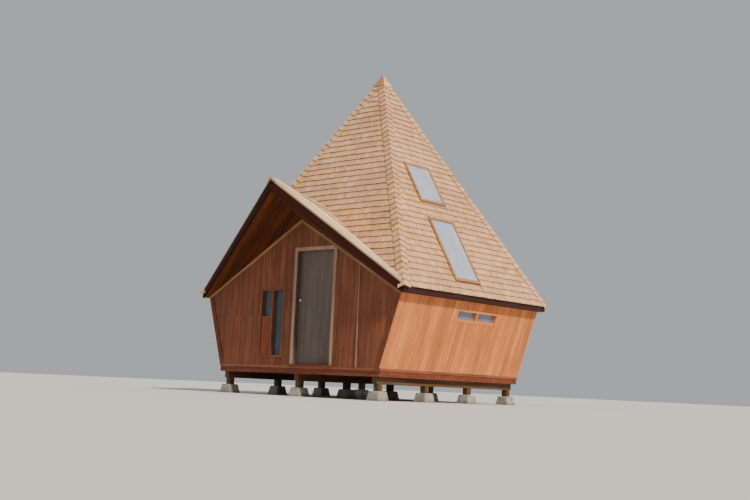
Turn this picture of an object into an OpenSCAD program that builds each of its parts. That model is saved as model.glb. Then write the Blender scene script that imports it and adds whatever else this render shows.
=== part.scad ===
// Small timber cabin on piers, with flared walls under a steep four-sided roof
// and a pointed prow gable over the front door.
// Millimetres, +Z up, ground at z = 0, front towards -Y.
// The origin is the middle of the footprint, at the ground.

/* [Floor] */
// Width of the floor across the front
floorWidth = 3700; // [3200:50:4300]
// Depth of the floor from front to back
floorDepth = 3700; // [3200:50:4300]
// Height of the floor's walking surface above the ground
floorHeight = 500; // [420:10:800]
// Thickness of the floor boards
deckThickness = 35; // [20:5:60]
// Height of the rim boards round the floor
rimHeight = 130; // [100:10:200]
// Thickness of the rim boards and of each joist
rimThickness = 45; // [30:5:70]
// Number of joists between the rim boards
joistCount = 5; // [3:1:8]
// Height of the beams that carry the joists
beamHeight = 110; // [80:10:160]
// Width of the beams and the posts
beamWidth = 100; // [80:10:140]

/* [Piers] */
// Side of each square pier at the ground
pierSide = 260; // [200:10:360]
// Height of each pier
pierHeight = 150; // [100:10:160]
// Width taken off the pier's side at its top
pierTaper = 60; // [0:10:80]
// Number of piers across the front
piersAcross = 3; // [2:1:4]
// Number of piers from front to back
piersAlong = 4; // [3:1:5]
// Distance from the floor's edge to the middle of the outer piers
pierInset = 130; // [130:10:300]

/* [Walls] */
// Height of the eaves above the floor
wallRise = 1260; // [1150:10:1500]
// Distance that each side wall leans out over its height
wallFlare = 420; // [200:10:600]
// Thickness of the walls
wallThickness = 100; // [80:5:140]
// Width of the corner boards on the front and the back
cornerBoardWidth = 90; // [60:5:130]
// Thickness of the corner boards
cornerBoardThickness = 20; // [12:1:30]

/* [Roof] */
// Height of the roof's point above the floor
apexRise = 5280; // [4400:10:5700]
// Distance the roof passes the side walls at the eaves
sideOverhang = 80; // [60:5:200]
// Distance the roof passes the front and back walls
endOverhang = 90; // [70:5:180]
// Thickness of the roof measured square to its slope
roofThickness = 110; // [90:5:120]
// Height of the boards along the eaves
eaveBoardHeight = 100; // [80:5:140]
// Thickness of the eaves boards
eaveBoardThickness = 25; // [18:1:40]
// Thickness of the boards under the eaves
eaveSoffitThickness = 20; // [12:1:25]
// Height of the cap over the roof's point
apexCapHeight = 260; // [180:10:400]
// Thickness of the cap over the roof's point
apexCapThickness = 20; // [12:1:30]

/* [Prow] */
// Distance from the front wall to the prow's tip
prowReach = 780; // [600:10:1000]
// Height of the prow's tip above the floor
prowRise = 2970; // [2800:10:3200]
// Height above the floor where the prow's ridge meets the main roof
valleyRise = 2670; // [2500:10:2780]
// Height of the prow's underside above the floor, at the front wall
gableRise = 2430; // [2410:10:2530]
// Upright thickness of the prow's roof
prowThickness = 60; // [40:5:80]
// Thickness of the prow's soffit
soffitThickness = 20; // [12:1:24]
// Height of the prow's fascia at its tip
fasciaHeight = 170; // [150:5:220]
// Height of the prow's fascia at the eaves
fasciaEndHeight = 120; // [110:5:160]
// Thickness of the prow's fascia
fasciaThickness = 30; // [20:1:40]
// Width of the cap boards along the prow's edges
edgeCapWidth = 80; // [50:5:120]
// Thickness of the cap boards
capThickness = 20; // [12:1:30]
// Half width of the cap on the prow's ridge
ridgeCapWidth = 90; // [60:5:140]

/* [Door] */
// Width of the door leaf
doorWidth = 850; // [800:10:900]
// Height of the door leaf
doorHeight = 1870; // [1800:10:1880]
// Thickness of the door leaf
doorThickness = 40; // [30:1:50]
// Middle of the door, right of the front wall's middle
doorOffset = 360; // [300:10:420]
// Gap between the leaf and its frame
doorGap = 8; // [7:0.5:10]
// Thickness of the door frame
jambThickness = 45; // [35:1:60]
// Distance the door frame stands out of the wall on both faces
jambProud = 12; // [8:1:20]
// Distance the door's stop reaches over the leaf's edge
stopReach = 16; // [12:1:24]
// Thickness of the sill under the door
sillThickness = 25; // [20:1:40]
// Distance the sill reaches out of the wall
sillReach = 60; // [40:5:100]
// Height of the door knob above the floor
knobHeight = 1080; // [850:10:1100]
// Distance of the knob from the leaf's free edge
knobInset = 80; // [50:5:90]
// Radius of the knob
knobRadius = 27; // [20:1:32]
// Distance the knob stands out of the leaf
knobReach = 55; // [45:1:70]
// Radius of the round plate under the knob
roseRadius = 28; // [22:1:34]
// Radius of the hinge knuckles
hingeRadius = 8; // [7:0.5:9]
// Radius of the hinge pins
hingePinRadius = 3.5; // [2.5:0.5:4.5]
// Running gap round the pins and between the knuckles
hingeGap = 0.3; // [0.2:0.1:0.6]
// Thickness of the hinge plates
hingePlateThickness = 3; // [2:0.5:4]
// Width of the hinge plates
hingePlateWidth = 34; // [24:1:36]
// Height of each hinge
hingeHeight = 100; // [80:5:140]
// Distance from the leaf's ends to the middle of the outer hinges
hingeInset = 220; // [150:10:300]

/* [Windows] */
// Width of the front window
frontWindowWidth = 580; // [450:10:620]
// Height of the front window
frontWindowHeight = 1160; // [900:10:1200]
// Height of the front window's lower edge above the floor
frontWindowSill = 130; // [100:10:250]
// Middle of the front window, left of the front wall's middle
frontWindowOffset = 610; // [580:10:700]
// Length of the strip window in each side wall
sideWindowLength = 1150; // [800:10:1400]
// Height of the strip window, measured up the wall
sideWindowHeight = 220; // [160:10:300]
// Lower edge of the strip window, measured up the wall
sideWindowSill = 870; // [700:10:900]
// Middle of the strip window, measured from the front
sideWindowMiddle = 2030; // [1600:10:2200]
// Width of the window frames
windowFrameWidth = 38; // [35:1:60]
// Distance the window frames stand out of the wall
windowFrameProud = 12; // [6:1:20]
// Width of the bar in the middle of a window
mullionWidth = 34; // [30:1:50]
// Thickness of the panes
paneThickness = 12; // [8:1:20]
// Width of the roof windows
skylightWidth = 680; // [500:10:760]
// Length of the lower roof window, measured up the slope
lowerSkylightLength = 1250; // [900:10:1300]
// Length of the upper roof window, measured up the slope
upperSkylightLength = 820; // [600:10:900]
// Distance from the eaves to the lower roof window
skylightSill = 230; // [220:10:320]
// Distance between the two roof windows
skylightSpace = 330; // [250:10:400]
// Middle of the roof windows, measured from the front
skylightMiddle = 1640; // [1400:10:1900]
// Width of the roof windows' frames
skylightFrameWidth = 50; // [40:1:70]
// Distance the roof windows' frames stand out of the roof
skylightProud = 45; // [30:1:60]

/* [Hidden] */
$fn = 48;
far = 8000;
seatGap = 0.2; // keeps a board clear of the leaning wall that it butts against

// Walls
eaveZ = floorHeight + wallRise;
halfFloor = floorWidth / 2;
halfTop = halfFloor + wallFlare;
lean = atan(wallFlare / wallRise);
leanRatio = wallFlare / wallRise;
wallWidthX = wallThickness / cos(lean);

// Roof: a pyramid, and a smaller one inside it with the same slopes
apexZ = floorHeight + apexRise;
roofRise = apexRise - wallRise;
roofX = halfTop + sideOverhang;
roofMiddle = floorDepth / 2;
roofY = roofMiddle + endOverhang;
sideSlope = atan(roofRise / roofX);
roofDrop = roofThickness / cos(sideSlope);
insetX = roofX * roofDrop / roofRise;
insetY = roofY * roofDrop / roofRise;

// Prow
prowZ = floorHeight + prowRise;
valleyZ = floorHeight + valleyRise;
valleyY = (valleyZ - eaveZ) * roofY / roofRise - endOverhang;
ridgeFall = (prowZ - valleyZ) / (valleyY + prowReach);
prowFall = (prowZ - ridgeFall * (prowReach - endOverhang) - eaveZ) / roofX;
prowSpread = (prowReach - endOverhang) / roofX;
prowTurn = atan(prowSpread);
fasciaStep = fasciaThickness / cos(prowTurn);
edgeCapStep = edgeCapWidth / cos(prowTurn);
gableZ = floorHeight + gableRise;
tipSoffitZ = prowZ - fasciaHeight + soffitThickness;
soffitLift = (tipSoffitZ - gableZ) / prowReach;
eaveSoffitZ = eaveZ - eaveBoardHeight;
soffitFall = (gableZ + soffitLift * endOverhang - eaveSoffitZ) / roofX;

// Door
leafInnerY = wallThickness + jambProud;
leafOuterY = leafInnerY - doorThickness;
leafLeft = doorOffset - doorWidth / 2;
leafRight = doorOffset + doorWidth / 2;
leafBottom = floorHeight + sillThickness + doorGap;
leafTop = leafBottom + doorHeight;
doorwayLeft = leafLeft - doorGap - jambThickness;
doorwayRight = leafRight + doorGap + jambThickness;
doorwayTop = leafTop + doorGap + jambThickness;
hingeX = leafRight + doorGap / 2;
hingeY = leafInnerY + hingeRadius;

// Frame: the footprint's middle at the origin
frontEdge = prowReach;
backEdge = floorDepth + endOverhang;
shiftY = (frontEdge - backEdge) / 2;

woodRed = [0.36, 0.17, 0.10];
woodDark = [0.24, 0.11, 0.07];
woodOrange = [0.62, 0.34, 0.18];
woodPale = [0.78, 0.66, 0.48];
shingleTan = [0.72, 0.53, 0.38];
doorGrey = [0.42, 0.37, 0.35];
glassBlue = [0.55, 0.62, 0.70, 0.5];
concreteGrey = [0.62, 0.60, 0.56];
metalGrey = [0.45, 0.44, 0.42];

module placed() {
    translate([0, shiftY, 0])
        children();
}

// Draws a profile of x and z, and runs it along y
module alongY(fromY, toY) {
    translate([0, toY, 0])
        rotate([90, 0, 0])
            linear_extrude(toY - fromY)
                children();
}

// Draws a profile of y and z, and runs it along x
module alongX(fromX, toX) {
    translate([fromX, 0, 0])
        rotate([90, 0, 90])
            linear_extrude(toX - fromX)
                children();
}

module bothSides() {
    children();
    mirror([1, 0, 0])
        children();
}

// Plan areas of the roof, mitred at the hips
module frontPlan() {
    linear_extrude(far)
        polygon([[0, roofMiddle], [-roofX, -endOverhang], [0, -prowReach], [roofX, -endOverhang]]);
}

module backPlan() {
    linear_extrude(far)
        polygon([[0, roofMiddle], [roofX, backEdge], [-roofX, backEdge]]);
}

module rightPlan() {
    linear_extrude(far)
        polygon([[0, roofMiddle], [roofX, -endOverhang], [roofX, backEdge]]);
}

// Everything behind the prow's edge, moved back by a step, on the right half
module behindEdge(step, depth) {
    linear_extrude(far)
        polygon([[0, step - prowReach], [roofX, step - endOverhang],
                 [roofX, step - endOverhang + depth], [0, step - prowReach + depth]]);
}

// Space under the roof: inside its inner faces, and under its flat lower edges
module insideSides() {
    alongY(-far, far)
        polygon([[-roofX, 0], [roofX, 0], [roofX, eaveZ], [roofX - insetX, eaveZ],
                 [0, apexZ - roofDrop], [-roofX + insetX, eaveZ], [-roofX, eaveZ]]);
}

module insideEnds() {
    alongX(-far, far)
        polygon([[-endOverhang, 0], [backEdge, 0], [backEdge, eaveZ], [backEdge - insetY, eaveZ],
                 [roofMiddle, apexZ - roofDrop], [-endOverhang + insetY, eaveZ],
                 [-endOverhang, eaveZ]]);
}

// Space between the inner faces of the front and the back slopes, over the eaves
module attic() {
    alongX(-far, far)
        polygon([[-endOverhang + insetY, eaveZ], [backEdge - insetY, eaveZ],
                 [roofMiddle, apexZ - roofDrop]]);
}

// Space under the roof's outer face at the front
module underFrontSlope() {
    alongX(-far, far)
        polygon([[-endOverhang, eaveZ], [roofMiddle, apexZ], [roofMiddle, 0], [far, 0],
                 [far, -far], [-endOverhang, -far]]);
}

// Everything under the plane of the prow's right half, which falls to the side and to the back
module underProwPlane(lift) {
    translate([0, -prowReach, prowZ + lift])
        rotate([0, atan(norm([prowFall, ridgeFall])), atan2(ridgeFall, prowFall)])
            translate([-far, -far, -far])
                cube([2 * far, 2 * far, far]);
}

module underProw(lift) {
    intersection() {
        underProwPlane(lift);
        mirror([1, 0, 0])
            underProwPlane(lift);
    }
}

module floorPlan(inset) {
    translate([-halfFloor + inset, inset])
        square([floorWidth - 2 * inset, floorDepth - 2 * inset]);
}

function pierX(i) = -halfFloor + pierInset + i * (floorWidth - 2 * pierInset) / (piersAcross - 1);
function pierY(j) = pierInset + j * (floorDepth - 2 * pierInset) / (piersAlong - 1);

module piers() {
    color(concreteGrey)
        placed()
            for (i = [0 : piersAcross - 1])
                for (j = [0 : piersAlong - 1])
                    translate([pierX(i), pierY(j), 0])
                        intersection() {
                            alongX(-pierSide / 2, pierSide / 2)
                                polygon([[-pierSide / 2, 0], [pierSide / 2, 0],
                                         [(pierSide - pierTaper) / 2, pierHeight],
                                         [(pierTaper - pierSide) / 2, pierHeight]]);
                            alongY(-pierSide / 2, pierSide / 2)
                                polygon([[-pierSide / 2, 0], [pierSide / 2, 0],
                                         [(pierSide - pierTaper) / 2, pierHeight],
                                         [(pierTaper - pierSide) / 2, pierHeight]]);
                        }
}

beamTop = floorHeight - rimHeight;
beamBottom = beamTop - beamHeight;

module posts() {
    color(woodDark)
        placed()
            for (i = [0 : piersAcross - 1])
                for (j = [0 : piersAlong - 1])
                    translate([pierX(i) - beamWidth / 2, pierY(j) - beamWidth / 2, pierHeight])
                        cube([beamWidth, beamWidth, beamBottom - pierHeight]);
}

module floor_beams() {
    color(woodDark)
        placed()
            for (i = [0 : piersAcross - 1])
                translate([pierX(i) - beamWidth / 2, rimThickness, beamBottom])
                    cube([beamWidth, floorDepth - 2 * rimThickness, beamHeight]);
}

module rim_boards() {
    color(woodRed)
        placed()
            translate([0, 0, beamTop])
                linear_extrude(rimHeight)
                    difference() {
                        floorPlan(0);
                        floorPlan(rimThickness);
                    }
}

joistStep = (floorDepth - rimThickness) / (joistCount + 1);

module joists() {
    color(woodDark)
        placed()
            for (i = [1 : joistCount])
                translate([-halfFloor + rimThickness, i * joistStep, beamTop])
                    cube([floorWidth - 2 * rimThickness, rimThickness, rimHeight - deckThickness]);
}

module floor_deck() {
    color(woodPale)
        placed()
            translate([0, 0, floorHeight - deckThickness])
                linear_extrude(deckThickness)
                    floorPlan(rimThickness);
}

// The front wall whole, before it is parted round the doorway: flared, and pointed up to the
// underside of the prow's roof
module frontWall() {
    topX = halfFloor + leanRatio * prowRise;
    intersection() {
        alongY(0, wallThickness)
            polygon([[-halfFloor, floorHeight], [halfFloor, floorHeight], [topX, prowZ],
                     [-topX, prowZ]]);
        insideSides();
        underProw(-prowThickness);
    }
}

module front_wall_left() {
    color(woodRed)
        placed()
            difference() {
                intersection() {
                    frontWall();
                    translate([-far, -far, 0])
                        cube([far + doorwayLeft, 2 * far, far]);
                }
                frontWindowSpace();
            }
}

module front_wall_right() {
    color(woodRed)
        placed()
            intersection() {
                frontWall();
                translate([doorwayRight, -far, 0])
                    cube([far, 2 * far, far]);
            }
}

module front_wall_over_door() {
    color(woodRed)
        placed()
            intersection() {
                frontWall();
                translate([doorwayLeft, -far, doorwayTop])
                    cube([doorwayRight - doorwayLeft, 2 * far, far]);
            }
}

module back_wall() {
    color(woodRed)
        placed()
            intersection() {
                alongY(floorDepth - wallThickness, floorDepth)
                    polygon([[-halfFloor, floorHeight], [halfFloor, floorHeight],
                             [halfFloor + 2 * wallFlare, floorHeight + 2 * wallRise],
                             [-halfFloor - 2 * wallFlare, floorHeight + 2 * wallRise]]);
                insideSides();
                insideEnds();
            }
}

module rightWall() {
    difference() {
        intersection() {
            alongY(wallThickness, floorDepth - wallThickness)
                polygon([[halfFloor - wallWidthX, floorHeight], [halfFloor, floorHeight],
                         [halfFloor + 2 * wallFlare, floorHeight + 2 * wallRise],
                         [halfFloor + 2 * wallFlare - wallWidthX, floorHeight + 2 * wallRise]]);
            insideSides();
        }
        sideWindowSpace();
    }
}

module right_wall() {
    color(woodOrange)
        placed()
            rightWall();
}

module left_wall() {
    color(woodOrange)
        placed()
            mirror([1, 0, 0])
                rightWall();
}

// The wall's outer face meets the boards under the eaves here
wallX = halfFloor + leanRatio * (eaveSoffitZ - floorHeight);

// One leaning board over the end of the side wall, on a face of an end wall, up to the eaves
module cornerBoard(fromY, toY) {
    alongY(fromY, toY)
        polygon([[halfFloor - cornerBoardWidth, floorHeight], [halfFloor, floorHeight],
                 [wallX, eaveSoffitZ], [wallX - cornerBoardWidth, eaveSoffitZ]]);
}

// The front boards go on upright over the eaves, to the underside of the prow's soffit
module corner_boards_front() {
    innerX = wallX - cornerBoardWidth;
    color(woodDark)
        placed()
            bothSides()
                intersection() {
                    alongY(-cornerBoardThickness, 0)
                        polygon([[halfFloor - cornerBoardWidth, floorHeight], [halfFloor, floorHeight],
                                 [wallX, eaveSoffitZ], [wallX, eaveZ], [innerX, eaveZ],
                                 [innerX, eaveSoffitZ]]);
                    alongY(-far, far)
                        polygon([[0, gableZ], [far, gableZ - soffitFall * far], [far, -far],
                                 [0, -far]]);
                }
}

module corner_boards_back() {
    color(woodDark)
        placed()
            bothSides()
                cornerBoard(floorDepth, floorDepth + cornerBoardThickness);
}

module rightSlope() {
    intersection() {
        alongY(-far, far)
            polygon([[roofX, eaveZ], [0, apexZ], [0, apexZ - roofDrop], [roofX - insetX, eaveZ]]);
        rightPlan();
    }
}

module roof_right() {
    color(shingleTan)
        placed()
            difference() {
                rightSlope();
                skylightSpaces();
            }
}

module roof_left() {
    color(shingleTan)
        placed()
            mirror([1, 0, 0])
                rightSlope();
}

module roof_back() {
    color(shingleTan)
        placed()
            intersection() {
                alongX(-far, far)
                    polygon([[backEdge, eaveZ], [roofMiddle, apexZ], [roofMiddle, apexZ - roofDrop],
                             [backEdge - insetY, eaveZ]]);
                backPlan();
            }
}

module roof_front() {
    color(shingleTan)
        placed()
            difference() {
                intersection() {
                    alongX(-far, far)
                        polygon([[-endOverhang, eaveZ], [roofMiddle, apexZ],
                                 [roofMiddle, apexZ - roofDrop], [-endOverhang + insetY, eaveZ]]);
                    frontPlan();
                }
                underProw(0);
            }
}

// The roof's point, larger than the roof by a step on all sides
module roofPoint(step) {
    intersection() {
        alongY(-far, far)
            polygon([[-roofX, eaveZ + step], [0, apexZ + step], [roofX, eaveZ + step]]);
        alongX(-far, far)
            polygon([[-endOverhang, eaveZ + step], [roofMiddle, apexZ + step],
                     [backEdge, eaveZ + step]]);
    }
}

module apex_cap() {
    color(woodPale)
        placed()
            intersection() {
                difference() {
                    roofPoint(apexCapThickness / cos(sideSlope));
                    roofPoint(0);
                }
                translate([-far / 2, -far / 2, apexZ - apexCapHeight])
                    cube(far);
            }
}

// One half of the prow's roof between two heights over its slope
module prowLayer(low, high) {
    difference() {
        underProwPlane(high);
        underProwPlane(low);
    }
}

module prowRoofRight() {
    difference() {
        intersection() {
            prowLayer(-prowThickness, 0);
            behindEdge(fasciaStep, far);
            frontPlan();
        }
        attic();
    }
}

module prow_roof_right() {
    color(shingleTan)
        placed()
            prowRoofRight();
}

module prow_roof_left() {
    color(shingleTan)
        placed()
            mirror([1, 0, 0])
                prowRoofRight();
}

// A flat sheet whose lower face is the right half's soffit, cut off at the front wall
module soffitRight() {
    intersection() {
        translate([0, 0, gableZ])
            rotate([0, atan(norm([soffitFall, soffitLift])), atan2(soffitLift, soffitFall)])
                translate([-far / 2, -far / 2, 0])
                    cube([far, far, soffitThickness]);
        translate([0, -far, 0])
            cube([far, far, far]);
        behindEdge(fasciaStep, far);
        frontPlan();
    }
}

module prow_soffit_right() {
    color(woodOrange)
        placed()
            soffitRight();
}

module prow_soffit_left() {
    color(woodOrange)
        placed()
            mirror([1, 0, 0])
                soffitRight();
}

// Board behind the prow's edge, its top flush with the prow's roof
module fasciaRight() {
    intersection() {
        alongY(-far, roofMiddle)
            polygon([[0, prowZ - fasciaHeight], [roofX, eaveZ - fasciaEndHeight],
                     [roofX, prowZ], [0, prowZ]]);
        behindEdge(0, fasciaStep);
        frontPlan();
        underProwPlane(0);
    }
}

module prow_fascia_right() {
    color(woodDark)
        placed()
            fasciaRight();
}

module prow_fascia_left() {
    color(woodDark)
        placed()
            mirror([1, 0, 0])
                fasciaRight();
}

module edgeCapRight() {
    difference() {
        intersection() {
            prowLayer(0, capThickness);
            behindEdge(0, edgeCapStep);
            frontPlan();
        }
        underFrontSlope();
    }
}

module prow_edge_cap_right() {
    color(woodPale)
        placed()
            edgeCapRight();
}

module prow_edge_cap_left() {
    color(woodPale)
        placed()
            mirror([1, 0, 0])
                edgeCapRight();
}

module prow_ridge_cap() {
    color(woodPale)
        placed()
            bothSides()
                difference() {
                    intersection() {
                        prowLayer(0, capThickness);
                        behindEdge(edgeCapStep, far);
                        frontPlan();
                        translate([-far, -far, 0])
                            cube([far + ridgeCapWidth, 2 * far, far]);
                    }
                    underFrontSlope();
                }
}

// Board and soffit along the right eaves, as one angled section
module eaveTrimRight() {
    innerX = wallX + seatGap;
    wallUpX = innerX + leanRatio * eaveSoffitThickness;
    intersection() {
        alongY(-far, far)
            polygon([[innerX, eaveSoffitZ], [roofX, eaveSoffitZ], [roofX, eaveZ],
                     [roofX - eaveBoardThickness, eaveZ],
                     [roofX - eaveBoardThickness, eaveSoffitZ + eaveSoffitThickness],
                     [wallUpX, eaveSoffitZ + eaveSoffitThickness]]);
        rightPlan();
    }
}

module eave_trim_right() {
    color(woodDark)
        placed()
            eaveTrimRight();
}

module eave_trim_left() {
    color(woodDark)
        placed()
            mirror([1, 0, 0])
                eaveTrimRight();
}

module eave_trim_back() {
    color(woodDark)
        placed()
            intersection() {
                alongX(-far, far)
                    polygon([[floorDepth, eaveSoffitZ], [backEdge, eaveSoffitZ], [backEdge, eaveZ],
                             [backEdge - eaveBoardThickness, eaveZ],
                             [backEdge - eaveBoardThickness, eaveSoffitZ + eaveSoffitThickness],
                             [floorDepth, eaveSoffitZ + eaveSoffitThickness]]);
                backPlan();
            }
}

// A window lying in the x and y plane with its outer face up, its middle at the origin
module windowFrame(length, height, low, high, width, bar) {
    translate([0, 0, low])
        linear_extrude(high - low)
            difference() {
                square([length, height], center = true);
                difference() {
                    square([length - 2 * width, height - 2 * width], center = true);
                    if (bar > 0)
                        square([bar, height], center = true);
                }
            }
}

module windowPanes(length, height, middle, width, bar) {
    translate([0, 0, middle - paneThickness / 2])
        linear_extrude(paneThickness)
            difference() {
                square([length - 2 * width, height - 2 * width], center = true);
                if (bar > 0)
                    square([bar, height], center = true);
            }
}

// Turns a window's plane into the front wall
module onFront() {
    translate([-frontWindowOffset, 0, floorHeight + frontWindowSill + frontWindowHeight / 2])
        rotate([90, 0, 0])
            children();
}

// Turns a window's plane into the right wall, its length along y
module onRight() {
    translate([halfFloor, sideWindowMiddle, floorHeight])
        rotate([0, lean, 0])
            translate([0, 0, sideWindowSill + sideWindowHeight / 2])
                rotate([90, 0, 90])
                    children();
}

module frontWindowSpace() {
    onFront()
        cube([frontWindowWidth, frontWindowHeight, 4 * wallThickness], center = true);
}

module sideWindowSpace() {
    onRight()
        cube([sideWindowLength, sideWindowHeight, 4 * wallThickness], center = true);
}

module front_window_frame() {
    color(woodPale)
        placed()
            onFront()
                windowFrame(frontWindowWidth, frontWindowHeight, -wallThickness, windowFrameProud,
                            windowFrameWidth, mullionWidth);
}

module front_window_glass() {
    color(glassBlue)
        placed()
            onFront()
                windowPanes(frontWindowWidth, frontWindowHeight, -wallThickness / 2,
                            windowFrameWidth, mullionWidth);
}

module side_window_frames() {
    color(woodPale)
        placed()
            bothSides()
                onRight()
                    windowFrame(sideWindowLength, sideWindowHeight, -wallThickness, windowFrameProud,
                                windowFrameWidth, mullionWidth);
}

module side_window_glass() {
    color(glassBlue)
        placed()
            bothSides()
                onRight()
                    windowPanes(sideWindowLength, sideWindowHeight, -wallThickness / 2,
                                windowFrameWidth, mullionWidth);
}

// Turns a roof window's plane into the right slope, x along the roof and y up the slope
module onSlope(middle) {
    translate([roofX, skylightMiddle, eaveZ])
        rotate([0, sideSlope, 0])
            translate([-middle, 0, 0])
                rotate([0, 0, 90])
                    children();
}

lowerSkylightMiddle = skylightSill + lowerSkylightLength / 2;
upperSkylightMiddle = skylightSill + lowerSkylightLength + skylightSpace + upperSkylightLength / 2;

module skylightSpaces() {
    onSlope(lowerSkylightMiddle)
        cube([skylightWidth, lowerSkylightLength, 4 * roofThickness], center = true);
    onSlope(upperSkylightMiddle)
        cube([skylightWidth, upperSkylightLength, 4 * roofThickness], center = true);
}

module skylight_frames() {
    color(woodDark)
        placed() {
            onSlope(lowerSkylightMiddle)
                windowFrame(skylightWidth, lowerSkylightLength, -roofThickness, skylightProud,
                            skylightFrameWidth, 0);
            onSlope(upperSkylightMiddle)
                windowFrame(skylightWidth, upperSkylightLength, -roofThickness, skylightProud,
                            skylightFrameWidth, 0);
        }
}

module skylight_glass() {
    paneMiddle = skylightProud - 3 * paneThickness / 2;
    color(glassBlue)
        placed() {
            onSlope(lowerSkylightMiddle)
                windowPanes(skylightWidth, lowerSkylightLength, paneMiddle, skylightFrameWidth, 0);
            onSlope(upperSkylightMiddle)
                windowPanes(skylightWidth, upperSkylightLength, paneMiddle, skylightFrameWidth, 0);
        }
}

// Outline of the door frame and its stops, seen from the front
module frameOutline(inner) {
    difference() {
        translate([doorwayLeft, floorHeight + sillThickness])
            square([doorwayRight - doorwayLeft, doorwayTop - floorHeight - sillThickness]);
        translate([leafLeft - doorGap + inner, 0])
            square([doorWidth + 2 * doorGap - 2 * inner, leafTop + doorGap - inner]);
    }
}

module door_frame() {
    color(woodPale)
        placed() {
            alongY(-jambProud, leafInnerY)
                frameOutline(0);
            alongY(-jambProud, leafOuterY - doorGap)
                frameOutline(stopReach);
        }
}

module door_sill() {
    color(woodDark)
        placed()
            translate([doorwayLeft, -sillReach, floorHeight])
                cube([doorwayRight - doorwayLeft, sillReach + leafInnerY, sillThickness]);
}

module door_leaf() {
    color(doorGrey)
        placed()
            translate([leafLeft, leafOuterY, leafBottom])
                cube([doorWidth, doorThickness, doorHeight]);
}

// Knob on its round plate, turned about z, standing on z = 0
module knob() {
    neck = knobRadius / 3;
    plate = knobReach / 10;
    rotate_extrude()
        polygon([[0, 0], [roseRadius, 0], [roseRadius, plate], [neck, plate],
                 [neck, knobReach - 1.5 * knobRadius], [0.8 * knobRadius, knobReach - 1.2 * knobRadius],
                 [knobRadius, knobReach - 0.7 * knobRadius], [0.85 * knobRadius, knobReach - 0.25 * knobRadius],
                 [0.5 * knobRadius, knobReach], [0, knobReach]]);
}

module door_knobs() {
    color(metalGrey)
        placed()
            translate([leafLeft + knobInset, 0, floorHeight + knobHeight]) {
                translate([0, leafOuterY, 0])
                    rotate([90, 0, 0])
                        knob();
                translate([0, leafInnerY, 0])
                    rotate([-90, 0, 0])
                        knob();
            }
}

// Plate of one hinge on the flat inner faces, on the leaf's side of the pin, with a tongue to the knuckles
module hingePlate(tongues) {
    clear = hingeRadius + 1;
    translate([-clear - hingePlateWidth, -hingeRadius, -hingeHeight / 2])
        cube([hingePlateWidth, hingePlateThickness, hingeHeight]);
    for (z = tongues)
        translate([-clear - 1, -hingeRadius, z[0]])
            cube([clear + 1, hingePlateThickness, z[1] - z[0]]);
}

// Ends of the hinge's knuckles along the pin: the leaf has the middle one
hingeLower = [-hingeHeight / 2, -hingeHeight / 6 - hingeGap];
hingeMiddle = [-hingeHeight / 6, hingeHeight / 6];
hingeUpper = [hingeHeight / 6 + hingeGap, hingeHeight / 2];

module leafHinge() {
    difference() {
        union() {
            hingePlate([hingeMiddle]);
            translate([0, 0, hingeMiddle[0]])
                cylinder(r = hingeRadius, h = hingeMiddle[1] - hingeMiddle[0]);
        }
        translate([0, 0, -hingeHeight])
            cylinder(r = hingePinRadius + hingeGap, h = 2 * hingeHeight);
    }
}

module frameHinge() {
    mirror([1, 0, 0])
        hingePlate([hingeLower, hingeUpper]);
    for (z = [hingeLower, hingeUpper])
        translate([0, 0, z[0]])
            cylinder(r = hingeRadius, h = z[1] - z[0]);
    translate([0, 0, -hingeHeight / 2])
        cylinder(r = hingePinRadius, h = hingeHeight);
}

module atHinges() {
    for (z = [leafBottom + hingeInset, (leafBottom + leafTop) / 2, leafTop - hingeInset])
        translate([hingeX, hingeY, z])
            children();
}

module door_hinges() {
    color(metalGrey)
        placed()
            atHinges()
                leafHinge();
}

module door_hinge_pins() {
    color(metalGrey)
        placed()
            atHinges()
                frameHinge();
}

piers();
posts();
floor_beams();
rim_boards();
joists();
floor_deck();
front_wall_left();
front_wall_right();
front_wall_over_door();
back_wall();
left_wall();
right_wall();
corner_boards_front();
corner_boards_back();
roof_front();
roof_back();
roof_left();
roof_right();
apex_cap();
prow_roof_left();
prow_roof_right();
prow_soffit_left();
prow_soffit_right();
prow_fascia_left();
prow_fascia_right();
prow_edge_cap_left();
prow_edge_cap_right();
prow_ridge_cap();
eave_trim_left();
eave_trim_right();
eave_trim_back();
front_window_frame();
front_window_glass();
side_window_frames();
side_window_glass();
skylight_frames();
skylight_glass();
door_frame();
door_sill();
door_hinge_pins();
door_leaf();
door_knobs();
door_hinges();
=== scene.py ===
import math
import random

import bmesh
import bpy
from mathutils import Matrix, Vector


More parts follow.
